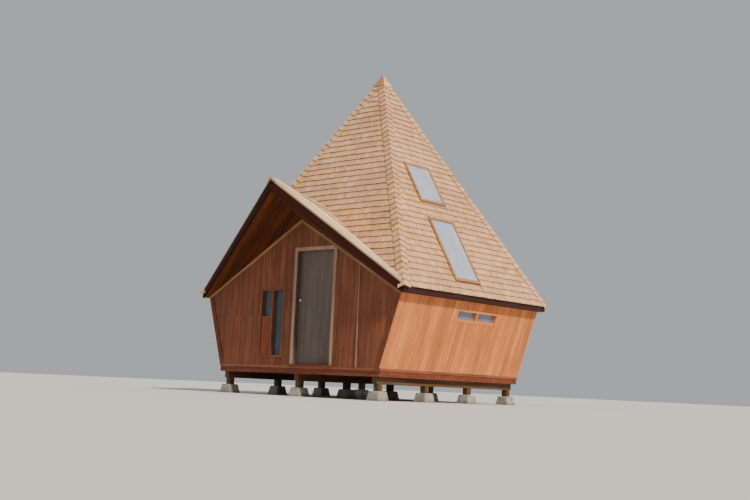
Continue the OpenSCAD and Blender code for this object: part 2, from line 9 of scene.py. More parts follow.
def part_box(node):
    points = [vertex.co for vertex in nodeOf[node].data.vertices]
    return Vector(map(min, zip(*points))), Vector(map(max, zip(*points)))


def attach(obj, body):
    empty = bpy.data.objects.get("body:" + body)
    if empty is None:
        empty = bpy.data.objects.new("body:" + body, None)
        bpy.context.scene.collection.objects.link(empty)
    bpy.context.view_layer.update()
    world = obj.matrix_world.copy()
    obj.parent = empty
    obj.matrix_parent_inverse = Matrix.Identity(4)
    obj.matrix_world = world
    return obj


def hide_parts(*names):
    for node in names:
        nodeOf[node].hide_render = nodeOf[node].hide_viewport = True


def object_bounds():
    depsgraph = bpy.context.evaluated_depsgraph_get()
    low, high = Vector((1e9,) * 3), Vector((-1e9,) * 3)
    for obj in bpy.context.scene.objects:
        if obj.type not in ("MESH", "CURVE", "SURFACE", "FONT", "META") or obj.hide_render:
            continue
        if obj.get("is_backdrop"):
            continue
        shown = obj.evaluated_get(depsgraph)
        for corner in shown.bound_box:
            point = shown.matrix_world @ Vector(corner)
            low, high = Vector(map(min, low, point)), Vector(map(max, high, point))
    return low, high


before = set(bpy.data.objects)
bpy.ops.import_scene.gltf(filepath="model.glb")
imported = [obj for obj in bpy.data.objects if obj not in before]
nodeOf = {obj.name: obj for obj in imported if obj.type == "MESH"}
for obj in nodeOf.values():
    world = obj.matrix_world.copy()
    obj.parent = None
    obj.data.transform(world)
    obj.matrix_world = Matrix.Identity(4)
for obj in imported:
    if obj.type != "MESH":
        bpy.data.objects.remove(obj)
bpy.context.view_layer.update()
scene = bpy.context.scene
dice = random.Random(11)

# Sizes of the part's source that its boxes don't show
house = {"wallRise": 1.26, "wallFlare": 0.42, "gableRise": 2.43, "valleyRise": 2.67,
         "fascia": 0.17, "soffitThickness": 0.02, "cornerBoard": 0.09,
         "cornerBoardThickness": 0.02}

# Main places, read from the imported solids
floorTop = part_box("floor_deck")[1].z
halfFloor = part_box("rim_boards")[1].x
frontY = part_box("front_wall_left")[0].y
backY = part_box("back_wall")[1].y
roofLow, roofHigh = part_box("roof_right")
eaveZ = roofLow.z
roofX = roofHigh.x
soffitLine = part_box("eave_trim_right")[0].z
fasciaLow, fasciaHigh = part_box("prow_fascia_right")
apex = Vector((0, (roofLow.y + roofHigh.y) / 2, roofHigh.z))
tip = Vector((0, fasciaLow.y, fasciaHigh.z))
frontRight = Vector((roofX, roofLow.y, eaveZ))
frontLeft = Vector((-roofX, roofLow.y, eaveZ))
backRight = Vector((roofX, roofHigh.y, eaveZ))
backLeft = Vector((-roofX, roofHigh.y, eaveZ))
gable = Vector((0, frontY, floorTop + house["gableRise"]))
# Where the prow's ridge meets the main roof
climb = (floorTop + house["valleyRise"] - eaveZ) / (apex.z - eaveZ)
valleyTop = Vector((0, frontRight.y + climb * (apex.y - frontRight.y),
                    floorTop + house["valleyRise"]))
# The soffit's fall to the sides, and its rise to the front
soffitLift = (tip.z - house["fascia"] + house["soffitThickness"] - gable.z) / (frontY - tip.y)
soffitFall = (gable.z + soffitLift * (frontY - frontRight.y) - soffitLine) / roofX
# The side walls' lean: outward for each metre up, and the ways along and out of the right wall
lean = house["wallFlare"] / house["wallRise"]
leanUp = Vector((lean, 0, 1)).normalized()
leanOut = Vector((1, 0, -lean)).normalized()

middlePoint = Vector((0, 0, 0))
alongX, alongY, alongZ = Vector((1, 0, 0)), Vector((0, 1, 0)), Vector((0, 0, 1))
sides = ((1, "right"), (-1, "left"))
prowSides = {1: "prowRight", -1: "prowLeft"}


# The same place or way on the right side (1) or the left side (-1)
def flipX(vector, side):
    return Vector((side * vector.x, vector.y, vector.z))


# Material nodes

white, black = (1, 1, 1, 1), (0, 0, 0, 1)


def tint(red, green, blue):
    parts = [value / 255 for value in (red, green, blue)]
    return [p / 12.92 if p <= 0.04045 else ((p + 0.055) / 1.055) ** 2.4 for p in parts] + [1]


def newMaterial(name):
    material = bpy.data.materials.new(name)
    material.use_nodes = True
    return material, material.node_tree, material.node_tree.nodes["Principled BSDF"]


# Sets a socket to a value, or links it to another node's output
def feed(tree, slot, value):
    if isinstance(value, bpy.types.NodeSocket):
        tree.links.new(value, slot)
    else:
        slot.default_value = value


def addNode(tree, kind, **values):
    node = tree.nodes.new("ShaderNode" + kind)
    for key, value in values.items():
        if key in node.inputs:
            feed(tree, node.inputs[key], value)
        else:
            setattr(node, key, value)
    return node


def rampOf(tree, value, stops):
    node = addNode(tree, "ValToRGB")
    feed(tree, node.inputs[0], value)
    elements = node.color_ramp.elements
    while len(elements) < len(stops):
        elements.new(0.5)
    for element, (spot, colour) in zip(elements, stops):
        element.position = spot
        element.color = colour
    return node.outputs[0]


def mixOf(tree, mode, factor, first, second):
    node = addNode(tree, "MixRGB", blend_type=mode)
    for slot, value in zip(node.inputs, (factor, first, second)):
        feed(tree, slot, value)
    return node.outputs[0]


def mathOf(tree, operation, first, second=0.0):
    node = addNode(tree, "Math", operation=operation)
    feed(tree, node.inputs[0], first)
    feed(tree, node.inputs[1], second)
    return node.outputs[0]


# Spreads a value that runs from start to end over the span from low to high
def rangeOf(tree, value, low, high, start=0, end=1):
    node = addNode(tree, "MapRange")
    for slot, given in zip(node.inputs, (value, start, end, low, high)):
        feed(tree, slot, given)
    return node.outputs[0]


# Multiplies a colour by a shade where the pattern is under low, fading out up to high
def darken(tree, colour, amount, pattern, shade, low, high):
    veil = rampOf(tree, pattern, [(low, shade + (1,)), (high, white)])
    return mixOf(tree, "MULTIPLY", amount, colour, veil)


def objectPlace(tree):
    return addNode(tree, "TexCoord").outputs["Object"]


# Moves a pattern by a value, so that each board shows another part of it
def movedBy(tree, place, value):
    boardShift = 30
    shift = addNode(tree, "CombineXYZ", Z=mathOf(tree, "MULTIPLY", value, boardShift))
    moved = addNode(tree, "VectorMath", operation="ADD")
    feed(tree, moved.inputs[0], place)
    feed(tree, moved.inputs[1], shift.outputs[0])
    return moved.outputs[0]


def addBump(tree, shader, height, strength, distance):
    bump = addNode(tree, "Bump", Strength=strength, Distance=distance, Height=height)
    tree.links.new(bump.outputs[0], shader.inputs["Normal"])


# Materials

# Scale across the grain, stretch along it, detail and distortion
grainKinds = {"bands": (22, 0.05, 4, 0.6), "fibres": (150, 0.03, 3, 0.1),
              "blotches": (2.2, 0.5, 3, 0.3)}
woodShades = {"fibre": (0.62, 0.58, 0.55), "blotch": (0.5, 0.45, 0.42), "knot": (0.18, 0.11, 0.08),
              "seam": (0.12, 0.1, 0.09, 1), "end": (0.36, 0.27, 0.22, 1),
              "course": (0.42, 0.31, 0.24, 1), "weather": (0.62, 0.58, 0.55)}
woodDetail = {"knotScale": (5, 1.7, 5), "seamWidth": 0.004, "courseFade": (0.035, 0.002),
              "courseDepth": 0.6, "saturation": (0.9, 1.08), "weatherScale": 1.3,
              "gloss": (0.1, -0.12), "bump": (0.35, 0.002)}


def grainOf(tree, place, kind, coarse=1.0):
    scale, stretch, detail, distortion = grainKinds[kind]
    scale *= coarse
    squeeze = addNode(tree, "Mapping", vector_type="POINT", Scale=(scale, scale * stretch, scale),
                      Vector=place)
    return addNode(tree, "TexNoise", Scale=1, Detail=detail, Roughness=0.6, Distortion=distortion,
                   Vector=squeeze.outputs[0]).outputs["Fac"]


# Seams run along the grain, one board's width apart, and each board has its own tone
def addSeams(tree, place, across, width):
    node = addNode(tree, "VectorMath", operation="DOT_PRODUCT")
    feed(tree, node.inputs[0], objectPlace(tree))
    feed(tree, node.inputs[1], Vector(across).normalized() / width)
    count = node.outputs["Value"]
    board = mathOf(tree, "FLOOR", count)
    tone = addNode(tree, "TexWhiteNoise", noise_dimensions="1D", W=board).outputs["Value"]
    edge = mathOf(tree, "PINGPONG", count, 0.5)
    mask = rampOf(tree, edge, [(0.0, woodShades["seam"]), (woodDetail["seamWidth"] / width, white)])
    return movedBy(tree, place, tone), tone, mask


# Grain runs along the boards' own map, or along one direction where a direction is given.
# seam and across give a node that stands for many boards its seams. courseLine is the place
# on a shingle where the next one's butt starts; a strip just below it is darkened as grime and
# painted shadow. The end darkening darkens sawn ends, and long front edges where asked as painted
# shade. Big patches darkened at random stand for weathering and painted dappled shade. painted
# gives a colour and the y behind which the piece has it.
def woodMaterial(name, light, dark, along=None, roughness=0.72, toneSpan=0.3, knots=0.5,
                 stains=0.35, coarse=1.0, fibre=0.6, hueSpan=0.0, seam=0.0, across=None,
                 weather=0.0, courseLine=0.0, endShade=0.7, painted=None, specular=0.35):
    material, tree, shader = newMaterial(name)
    tone = other = course = seamMask = None
    if along is None:
        course = addNode(tree, "SeparateXYZ", Vector=addNode(tree, "UVMap", uv_map="course").outputs[0])
        tones = addNode(tree, "SeparateXYZ", Vector=addNode(tree, "UVMap", uv_map="tone").outputs[0])
        tone, other = tones.outputs[0], tones.outputs[1]
        place = movedBy(tree, addNode(tree, "UVMap", uv_map="grain").outputs[0], other)
    else:
        spin = Vector(along).normalized().rotation_difference(alongY).to_euler()
        place = addNode(tree, "Mapping", vector_type="POINT", Rotation=spin,
                        Vector=objectPlace(tree)).outputs[0]
    if seam:
        place, tone, seamMask = addSeams(tree, place, across, seam)

    bands = grainOf(tree, place, "bands", coarse)
    fibres = grainOf(tree, place, "fibres", coarse)
    middle = [(a + b) / 2 for a, b in zip(light, dark)]
    colour = rampOf(tree, bands, [(0.3, dark), (0.5, middle), (0.72, light)])
    colour = darken(tree, colour, fibre, fibres, woodShades["fibre"], 0.3, 0.65)
    blotches = grainOf(tree, place, "blotches")
    colour = darken(tree, colour, stains, blotches, woodShades["blotch"], 0.35, 0.62)
    if knots:
        squeeze = addNode(tree, "Mapping", vector_type="POINT", Scale=woodDetail["knotScale"],
                          Vector=place)
        cells = addNode(tree, "TexVoronoi", Scale=1, Randomness=1, Vector=squeeze.outputs[0])
        colour = darken(tree, colour, knots, cells.outputs["Distance"], woodShades["knot"], 0.03, 0.09)
    if tone is not None:
        shade = addNode(tree, "HueSaturation", Color=colour,
                        Value=rangeOf(tree, tone, 1 - toneSpan, 1 + toneSpan))
        if hueSpan and along is None:
            feed(tree, shade.inputs["Hue"], rangeOf(tree, other, 0.5 - hueSpan, 0.5 + hueSpan))
            feed(tree, shade.inputs["Saturation"], rangeOf(tree, other, *woodDetail["saturation"]))
        colour = shade.outputs[0]
    if seamMask:
        colour = mixOf(tree, "MULTIPLY", 1.0, colour, seamMask)
    if course:
        # Sawn ends are darker end grain; long front edges marked for it get the same darkening as painted
        # shade
        ends = mathOf(tree, "MULTIPLY", course.outputs[0], endShade)
        colour = mixOf(tree, "MULTIPLY", ends, colour, woodShades["end"])
    # A strip just below the next shingle's butt is darkened, as grime and as painted shadow under the
    # butt
    if courseLine:
        start, end = (courseLine - fade for fade in woodDetail["courseFade"])
        grimeAndShadow = rangeOf(tree, course.outputs[1], 0, woodDetail["courseDepth"], start, end)
        colour = mixOf(tree, "MULTIPLY", grimeAndShadow, colour, woodShades["course"])
    # Big patches at random are darkened, as weathering and as painted dappled shade
    if weather:
        patches = addNode(tree, "TexNoise", Scale=woodDetail["weatherScale"], Detail=5, Roughness=0.55,
                          Distortion=0.4, Vector=objectPlace(tree))
        colour = darken(tree, colour, weather, patches.outputs["Fac"], woodShades["weather"], 0.36, 0.6)
    if painted:
        paint, behind = painted
        depth = addNode(tree, "SeparateXYZ", Vector=objectPlace(tree)).outputs[1]
        colour = mixOf(tree, "MIX", mathOf(tree, "GREATER_THAN", depth, behind), colour, paint)
    feed(tree, shader.inputs["Base Color"], colour)
    dull, worn = (roughness + change for change in woodDetail["gloss"])
    feed(tree, shader.inputs["Roughness"], rangeOf(tree, bands, dull, worn))
    shader.inputs["Specular IOR Level"].default_value = specular
    height = mathOf(tree, "ADD", bands, fibres)
    if seamMask:
        height = mathOf(tree, "MULTIPLY", height, seamMask)
    addBump(tree, shader, height, *woodDetail["bump"])
    return material


def concreteMaterial(name):
    # The colour darkens towards the bottom, up to the given height
    bottomDarkening = {"colour": tint(92, 80, 62), "amount": 0.7, "height": 0.06}
    material, tree, shader = newMaterial(name)
    place = objectPlace(tree)
    cloud = addNode(tree, "TexNoise", Scale=7, Detail=8, Roughness=0.65, Vector=place).outputs["Fac"]
    grit = addNode(tree, "TexNoise", Scale=130, Detail=3, Vector=place).outputs["Fac"]
    pits = addNode(tree, "TexVoronoi", Scale=55, Vector=place).outputs["Distance"]
    colour = rampOf(tree, cloud, [(0.3, tint(118, 114, 106)), (0.5, tint(150, 147, 140)),
                                  (0.7, tint(176, 173, 166))])
    colour = darken(tree, colour, 0.7, grit, (0.7, 0.69, 0.67), 0.35, 0.6)
    height = addNode(tree, "SeparateXYZ", Vector=place).outputs[2]
    nearBottom = rangeOf(tree, height, bottomDarkening["amount"], 0, end=bottomDarkening["height"])
    feed(tree, shader.inputs["Base Color"], mixOf(tree, "MIX", nearBottom, colour, bottomDarkening["colour"]))
    shader.inputs["Roughness"].default_value = 0.92
    pit = rampOf(tree, pits, [(0.05, black), (0.25, white)])
    addBump(tree, shader, mixOf(tree, "MULTIPLY", 0.6, grit, pit), 0.5, 0.004)
    return material


def glassMaterial(name, colour, roughness, seeThrough):
    veilShade, dustSpan = 0.8, 0.12
    material, tree, shader = newMaterial(name)
    smears = addNode(tree, "TexNoise", Scale=3.5, Detail=5, Distortion=1.2,
                     Vector=objectPlace(tree)).outputs["Fac"]
    veil = [c * veilShade for c in colour[:3]] + [1]
    feed(tree, shader.inputs["Base Color"], rampOf(tree, smears, [(0.35, veil), (0.7, colour)]))
    feed(tree, shader.inputs["Roughness"], rangeOf(tree, smears, roughness, roughness + dustSpan))
    shader.inputs["IOR"].default_value = 1.45
    shader.inputs["Transmission Weight"].default_value = seeThrough
    shader.inputs["Specular IOR Level"].default_value = 0.6
    return material


def metalMaterial(name, light, dark):
    material, tree, shader = newMaterial(name)
    wear = addNode(tree, "TexNoise", Scale=60, Detail=6, Roughness=0.7,
                   Vector=objectPlace(tree)).outputs["Fac"]
    feed(tree, shader.inputs["Base Color"], rampOf(tree, wear, [(0.35, dark), (0.65, light)]))
    feed(tree, shader.inputs["Roughness"], rangeOf(tree, wear, 0.5, 0.25))
    shader.inputs["Metallic"].default_value = 0.95
    addBump(tree, shader, wear, 0.15, 0.001)
    return material


# Light and dark of each finish. wall and side are one stain twice: wall is darkened as painted shade
# for the end walls, side is lightened as painted sunlight for the side walls. cap is the cream edge
# cap darkened as painted shade.
stainTones = {"wall": (tint(146, 84, 52), tint(104, 55, 33)),
              "side": (tint(250, 157, 91), tint(206, 117, 62)),
              "trim": (tint(64, 22, 9), tint(38, 11, 4)),
              "corner": (tint(128, 66, 42), tint(86, 40, 26)),
              "pale": (tint(190, 144, 104), tint(146, 102, 68)),
              "jamb": (tint(190, 153, 130), tint(146, 110, 90)),
              "cream": (tint(238, 214, 172), tint(206, 174, 130)),
              "soffit": (tint(106, 52, 18), tint(66, 30, 9)),
              "shingle": (tint(244, 198, 156), tint(204, 152, 110)),
              "prow": (tint(250, 214, 172), tint(222, 180, 134)),
              "verge": (tint(255, 240, 204), tint(240, 210, 162)),
              "cap": (tint(180, 150, 116), tint(142, 114, 86)),
              "rim": (tint(140, 70, 42), tint(88, 38, 22)),
              "framing": (tint(112, 80, 50), tint(66, 44, 26)),
              "floor": (tint(206, 164, 112), tint(160, 116, 72)),
              "door": (tint(106, 92, 85), tint(90, 77, 71)),
              "gable": (tint(158, 122, 84), tint(112, 80, 52)),
              "strip": (tint(150, 92, 62), tint(104, 58, 36)),
              "panel": (tint(150, 78, 44), tint(112, 54, 30))}


def stained(name, family, **more):
    return woodMaterial(name, *stainTones[family], **more)


# One wall stain twice: darkened as painted shade on the end walls, lightened as painted sunlight on the
# side walls
shadedWallBoards = stained("shadedWallBoards", "wall", toneSpan=0.16, fibre=0.4, weather=0.35)
sunlitSideBoards = stained("sunlitSideBoards", "side", toneSpan=0.2, fibre=0.5, weather=0.3)
soffitBoards = stained("soffitBoards", "soffit", specular=0.15)
roofShingles = stained("roofShingles", "shingle", roughness=0.85, toneSpan=0.1, knots=0, coarse=1.4,
                       hueSpan=0.004, stains=0.25, weather=0.4, courseLine=0.12)
prowShingles = stained("prowShingles", "prow", roughness=0.85, toneSpan=0.1, knots=0, coarse=1.4,
                       stains=0.2, weather=0.2, endShade=0.25)
pointShingles = stained("pointShingles", "shingle", roughness=0.85, knots=0, weather=0.3)
vergeBoards = stained("vergeBoards", "verge", toneSpan=0.1, knots=0.2, stains=0.25, endShade=0.8)
creamBoards = stained("creamBoards", "cream", knots=0.2)
jambBoards = stained("jambBoards", "jamb", knots=0.3)
gableTrim = stained("gableTrim", "gable")
edgeStrip = stained("edgeStrip", "strip")
windowPanel = stained("windowPanel", "panel", knots=0.2)
floorPlanks = stained("floorPlanks", "floor")
concrete = concreteMaterial("castConcrete")
windowGlass = glassMaterial("windowGlass", tint(120, 132, 140), 0.04, 0.75)
# Its bluish colour is painted reflection of the sky
sideGlass = glassMaterial("sideGlass", tint(144, 154, 178), 0.08, 0.35)
# Its pale lavender colour is painted reflection of the sky
roofGlass = glassMaterial("roofGlass", tint(198, 202, 224), 0.16, 0.25)
knobMetal = metalMaterial("knobMetal", tint(214, 210, 202), tint(160, 152, 140))


# Finishes on the CAD nodes that stay

def finish(node, material):
    piece = nodeOf[node]
    if not piece.material_slots:
        piece.data.materials.append(material)
    for slot in piece.material_slots:
        slot.material = material


# Seams of the lining behind the boards and of the sheathing under the shingles
liningWidth, sheathingWidth = 0.1, 0.14
fasciaRun = frontRight - tip
for side, name in sides:
    run = flipX(fasciaRun, side)
    finish("prow_fascia_" + name, stained("fascia_" + name, "trim", along=run, knots=0.3, specular=0.15))
    # The edge cap is cream wood darkened as painted shade
    finish("prow_edge_cap_" + name, stained("shadedEdgeCap_" + name, "cap", along=run, knots=0.2))
    finish("prow_soffit_" + name, stained("soffitBack_" + name, "soffit", along=run))
    finish("prow_roof_" + name, stained("prowSheathing_" + name, "floor", along=alongY,
                                        seam=sheathingWidth, across=alongX))
    finish("eave_trim_" + name, stained("eaveTrim_" + name, "trim", along=alongY, knots=0.3))
    finish(name + "_wall", stained("lining_" + name, "floor", along=flipX(leanUp, side),
                                   seam=liningWidth, across=alongY))
    finish("roof_" + name, stained("sheathing_" + name, "floor", along=alongY,
                                   seam=sheathingWidth, across=alongZ))
for node in ("front_wall_left", "front_wall_right", "front_wall_over_door", "back_wall"):
    finish(node, stained("lining_" + node, "floor", along=alongZ, seam=liningWidth, across=alongX))
for node in ("roof_front", "roof_back"):
    finish(node, stained("sheathing_" + node, "floor", along=alongX, seam=sheathingWidth, across=alongZ))
finish("eave_trim_back", stained("eaveTrim_back", "trim", along=alongX, knots=0.3))
finish("corner_boards_front", stained("cornerBoards_front", "corner", along=alongZ, knots=0.3))
finish("corner_boards_back", stained("cornerBoards_back", "corner", along=alongZ, knots=0.3))
finish("rim_boards", stained("rimBoards_node", "rim", along=alongX))
finish("posts", stained("postTimber", "framing", along=alongZ))
finish("floor_beams", stained("beamTimber", "framing", along=alongY))
finish("joists", stained("joistTimber", "framing", along=alongX))
# The window frames take the same copies: the front one painted shade, the side ones painted sunlight
finish("front_window_frame", stained("windowFrame_front", "wall", along=alongZ, knots=0.2))
finish("side_window_frames", stained("windowFrames_side", "side", along=alongY, knots=0.2))
finish("skylight_frames", stained("skylightFrames", "pale", along=alongY, knots=0.2))
# The door's frame is painted like the door inside the reveal
revealDepth = 0.004
finish("door_frame", stained("doorFrame", "jamb", along=alongZ, knots=0.2,
                             painted=(stainTones["door"][1], frontY - revealDepth)))
finish("door_sill", stained("doorSill", "rim", along=alongX, knots=0.2))
finish("door_leaf", stained("doorLeaf", "door", along=alongZ, knots=0, roughness=0.6, stains=0.25,
                            fibre=0.25))
finish("front_window_glass", windowGlass)
finish("side_window_glass", sideGlass)
finish("skylight_glass", roofGlass)
for node in ("door_knobs", "door_hinges", "door_hinge_pins"):
    finish(node, knobMetal)
print("materials ready")


# Boards are laid with x across, y along and z out of the surface. Their maps are the grain, the
# board's own tone, and the sawn ends (with long front edges where painted shade is asked for) with the
# place along the board.

boardMaps = ("grain", "tone", "course")
boardBevel = 0.0015
spare = 0.1  # boards are laid longer than they end up, then cut


def newBoards():
    bm = bmesh.new()
    for name in boardMaps:
        bm.loops.layers.uv.new(name)
    return bm


def axes(origin, along, out):
    y = along.normalized()
    z = (out - out.dot(y) * y).normalized()
    turn = Matrix((y.cross(z), y, z)).transposed().to_4x4()
    turn.translation = origin
    return turn


def mapGrain(bm, faces, shadeFrontEdge=False):
    grain, tone, course = (bm.loops.layers.uv[name] for name in boardMaps)
    shift = Vector((dice.uniform(0, 9), dice.uniform(0, 9)))
    shade = Vector((dice.random(), dice.random()))
    steep = 0.7
    for face in faces:
        # Sawn ends, and when asked also the long edge that faces -x, which is darkened as painted shade
        sawnOrShaded = abs(face.normal.y) > steep or (shadeFrontEdge and face.normal.x < -steep)
        for corner in face.loops:
            x, y, z = corner.vert.co
            corner[grain].uv = Vector((x + z, y)) + shift
            corner[tone].uv = shade
            corner[course].uv = (float(sawnOrShaded), y)


def placeShape(bm, template, matrix, stretch=None, shadeFrontEdge=False):
    vertCount, faceCount = len(bm.verts), len(bm.faces)
    bm.from_mesh(template)
    bm.verts.ensure_lookup_table()
    bm.faces.ensure_lookup_table()
    added = bm.verts[vertCount:]
    if stretch:
        for vert in added:
            vert.co = Vector([a * b for a, b in zip(vert.co, stretch)])
    mapGrain(bm, bm.faces[faceCount:], shadeFrontEdge)
    for vert in added:
        vert.co = matrix @ vert.co


# Takes a bmesh as a mesh, and frees it
def meshOf(bm, name):
    mesh = bpy.data.meshes.new(name)
    bm.to_mesh(mesh)
    bm.free()
    return mesh


# Places a shape that is used once
def placeOnce(bm, shape, matrix, shadeFrontEdge=False):
    mesh = meshOf(shape, "once")
    placeShape(bm, mesh, matrix, shadeFrontEdge=shadeFrontEdge)
    bpy.data.meshes.remove(mesh)


# Adds boards that were cut on their own
def gather(bm, cutBoards):
    mesh = meshOf(cutBoards, "cutBoards")
    bm.from_mesh(mesh)
    bpy.data.meshes.remove(mesh)


def soften(bm, edges, width, segments=1):
    bmesh.ops.bevel(bm, geom=edges, offset=width, offset_type="OFFSET", segments=segments,
                    affect="EDGES", profile=0.5, material=-1)


def addBoard(bm, matrix, width, length, thickness, bevel=boardBevel):
    board = newBoards()
    bmesh.ops.create_cube(board, size=1, matrix=Matrix.Diagonal((width, length, thickness, 1)))
    soften(board, board.edges[:], bevel)
    placeOnce(bm, board, matrix)


def everythingIn(bm):
    return bm.verts[:] + bm.edges[:] + bm.faces[:]


# Cuts off what lies past a plane and closes the cut
def clip(bm, point, outward):
    cut = bmesh.ops.bisect_plane(bm, geom=everythingIn(bm), dist=1e-6, plane_co=point,
                                 plane_no=outward, clear_outer=True)
    edges = [part for part in cut["geom_cut"] if isinstance(part, bmesh.types.BMEdge)]
    closed = bmesh.ops.holes_fill(bm, edges=edges, sides=0)["faces"]
    layers = [bm.loops.layers.uv[name] for name in boardMaps]
    for face in closed:
        for corner in face.loops:
            near = [other for other in corner.vert.link_loops if other.face is not face]
            for layer in layers:
                if near:
                    corner[layer].uv = near[0][layer].uv


# Keeps what is on one side of the cabin's middle
def clipMiddle(bm, side):
    clip(bm, middlePoint, Vector((-side, 0, 0)))


# Cuts along one side wall's lean, inset from its foot
def clipToLean(bm, side, inset):
    clip(bm, Vector((side * (halfFloor - inset), 0, floorTop)), Vector((side, 0, -lean)))


# Cuts in the upright plane of a front hip
def clipUnderHip(bm, side):
    hip = apex - frontRight
    clip(bm, flipX(frontRight, side), flipX(Vector((hip.y, -hip.x, 0)), side))


def newPiece(name, bm, material, body="cabin", replaced=()):
    mesh = meshOf(bm, name)
    mesh.materials.append(material)
    piece = bpy.data.objects.new(name, mesh)
    scene.collection.objects.link(piece)
    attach(piece, body)
    if replaced:
        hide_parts(*replaced)


# Least and greatest x, then least and greatest y
def spanOf(points):
    return (min(p.x for p in points), max(p.x for p in points),
            min(p.y for p in points), max(p.y for p in points))


# A node's points as a surface's own x, y and z
def pointsOn(surface, node):
    inverse = surface.inverted()
    return [inverse @ vert.co for vert in nodeOf[node].data.vertices]


leastSpan = 0.015  # narrower or shorter pieces than this aren't laid


# Shares a span of the surface round the openings in it: left, right, lower and upper edges
def aroundHoles(span, holes):
    spans = [span]
    for left, right, bottom, upper in holes:
        kept = []
        for a, b, c, d in spans:
            if b <= left or a >= right or d <= bottom or c >= upper:
                kept.append((a, b, c, d))
                continue
            if a < left:
                kept.append((a, left, c, d))
            if b > right:
                kept.append((right, b, c, d))
            a, b = max(a, left), min(b, right)
            if c < bottom:
                kept.append((a, b, c, bottom))
            if d > upper:
                kept.append((a, b, upper, d))
        spans = kept
    return [(a, b, c, d) for a, b, c, d in spans if b - a > leastSpan and d - c > leastSpan]


# Roof shingles, in courses along the eaves

shingle = {"exposure": 0.12, "length": 0.25, "width": 0.11, "thickness": 0.010, "gap": 0.004,
           "overhang": 0.02, "raggedness": 0.005, "clearance": 0.002, "shapes": 6, "thinEnd": 0.4,
           "buttShift": 0.004, "buttLift": 0.0015, "bevel": 0.0022, "turn": 0.012,
           "tiltSpread": (-0.004, 0.006), "liftSpread": 0.0015, "widths": (0.72, 1.35)}
buttHeight = 2 * shingle["thickness"] + shingle["clearance"]  # of a butt's upper face
tilt = math.atan(shingle["thickness"] / shingle["exposure"])


def shingleShapes():
    shapes = []
    for index in range(shingle["shapes"]):
        bm = newBoards()
        size = (shingle["width"], shingle["length"], shingle["thickness"], 1)
        bmesh.ops.create_cube(bm, size=1, matrix=Matrix.Diagonal(size))
        for vert in bm.verts:
            if vert.co.y > 0:
                vert.co.z *= shingle["thinEnd"]
            else:
                vert.co.y += dice.uniform(-1, 1) * shingle["buttShift"]
                vert.co.z += dice.uniform(-1, 1) * shingle["buttLift"]
            vert.co.y += shingle["length"] / 2
        upper = [edge for edge in bm.edges if all(v.co.z > 0 for v in edge.verts)
                 and any(v.co.y < shingle["length"] / 2 for v in edge.verts)]
        soften(bm, upper, shingle["bevel"])
        shapes.append(meshOf(bm, "shingleShape"))
    return shapes


shapes = shingleShapes()


def layShingle(bm, surface, u, v, width, lift=0.0, length=None):
    length = length or shingle["length"]
    turn = Matrix.Rotation(dice.uniform(-shingle["turn"], shingle["turn"]), 4, "Z")
    slope = Matrix.Rotation(-tilt + dice.uniform(*shingle["tiltSpread"]), 4, "X")
    butt = buttHeight - shingle["thickness"] / 2 + lift + dice.uniform(0, shingle["liftSpread"])
    ragged = dice.uniform(-1, 1) * shingle["raggedness"]
    matrix = surface @ Matrix.Translation((u, v + ragged, butt)) @ turn @ slope
    stretch = ((width - shingle["gap"]) / shingle["width"], length / shingle["length"], 1)
    placeShape(bm, dice.choice(shapes), matrix, stretch)


# A facet is its foot's start and end and its top. Its surface has x along the foot and y upward.
def facetOf(start, end, top):
    u = (end - start).normalized()
    n = u.cross(top - start).normalized()
    surface = Matrix((u, n.cross(u), n)).transposed().to_4x4()
    surface.translation = start
    peak = surface.inverted() @ top
    return surface, (end - start).length, peak.x, peak.y


def normalOf(facet):
    start, end, top = facet
    return (end - start).cross(top - start).normalized()


def middleOf(facet):
    return sum(facet, Vector()) / 3


# Cuts one facet's boards along its fold with the next facet
def mitre(bm, fold, facet, other, keep):
    foot, head = fold
    outward = (head - foot).cross(normalOf(facet) + normalOf(other)).normalized()
    if outward.dot(keep - foot) > 0:
        outward = -outward
    clip(bm, foot, outward)


facets = {"right": (frontRight, backRight, apex), "back": (backRight, backLeft, apex),
          "left": (backLeft, frontLeft, apex), "front": (frontLeft, frontRight, apex),
          "prowRight": (tip, frontRight, valleyTop), "prowLeft": (frontLeft, tip, valleyTop)}
hips = {("right", "back"): backRight, ("back", "left"): backLeft,
        ("left", "front"): frontLeft, ("front", "right"): frontRight}
valleys = {side: ((flipX(frontRight, side), valleyTop), facets[name], apex)
           for side, name in prowSides.items()}


# The folds of one side of the main roof, each with the side beyond it and a point to keep
def foldsOf(side):
    found = []
    for (one, two), corner in hips.items():
        if side in (one, two):
            beyond = facets[two if side == one else one]
            found.append(((corner, apex), beyond, middleOf(facets[side])))
    return found


# Lays one facet's courses, each group of them cut by its own folds
def layFacet(name, facet, folds, holes=(), first=None, groupOf=lambda u: 0, material=roofShingles):
    surface, width, peakU, peakV = facetOf(*facet)
    groups = {key: newBoards() for key in folds}
    v = -shingle["overhang"] if first is None else first
    while v < peakV:
        share = max(0.0, min(1.0, v / peakV))
        low, high = peakU * share - spare, width - (width - peakU) * share + spare
        u = low - dice.uniform(0, spare)
        while u < high:
            size = shingle["width"] * dice.uniform(*shingle["widths"])
            for a, b, c, d in aroundHoles((u, u + size, v, v + shingle["length"]), holes):
                middle = (a + b) / 2
                layShingle(groups[groupOf(middle)], surface, middle, c, b - a, length=d - c)
            u += size
        v += shingle["exposure"]
    whole = newBoards()
    for key, bm in groups.items():
        for fold, other, keep in folds[key]:
            mitre(bm, fold, facet, other, keep)
        gather(whole, bm)
    newPiece(name, whole, material)
    print(name, "laid")


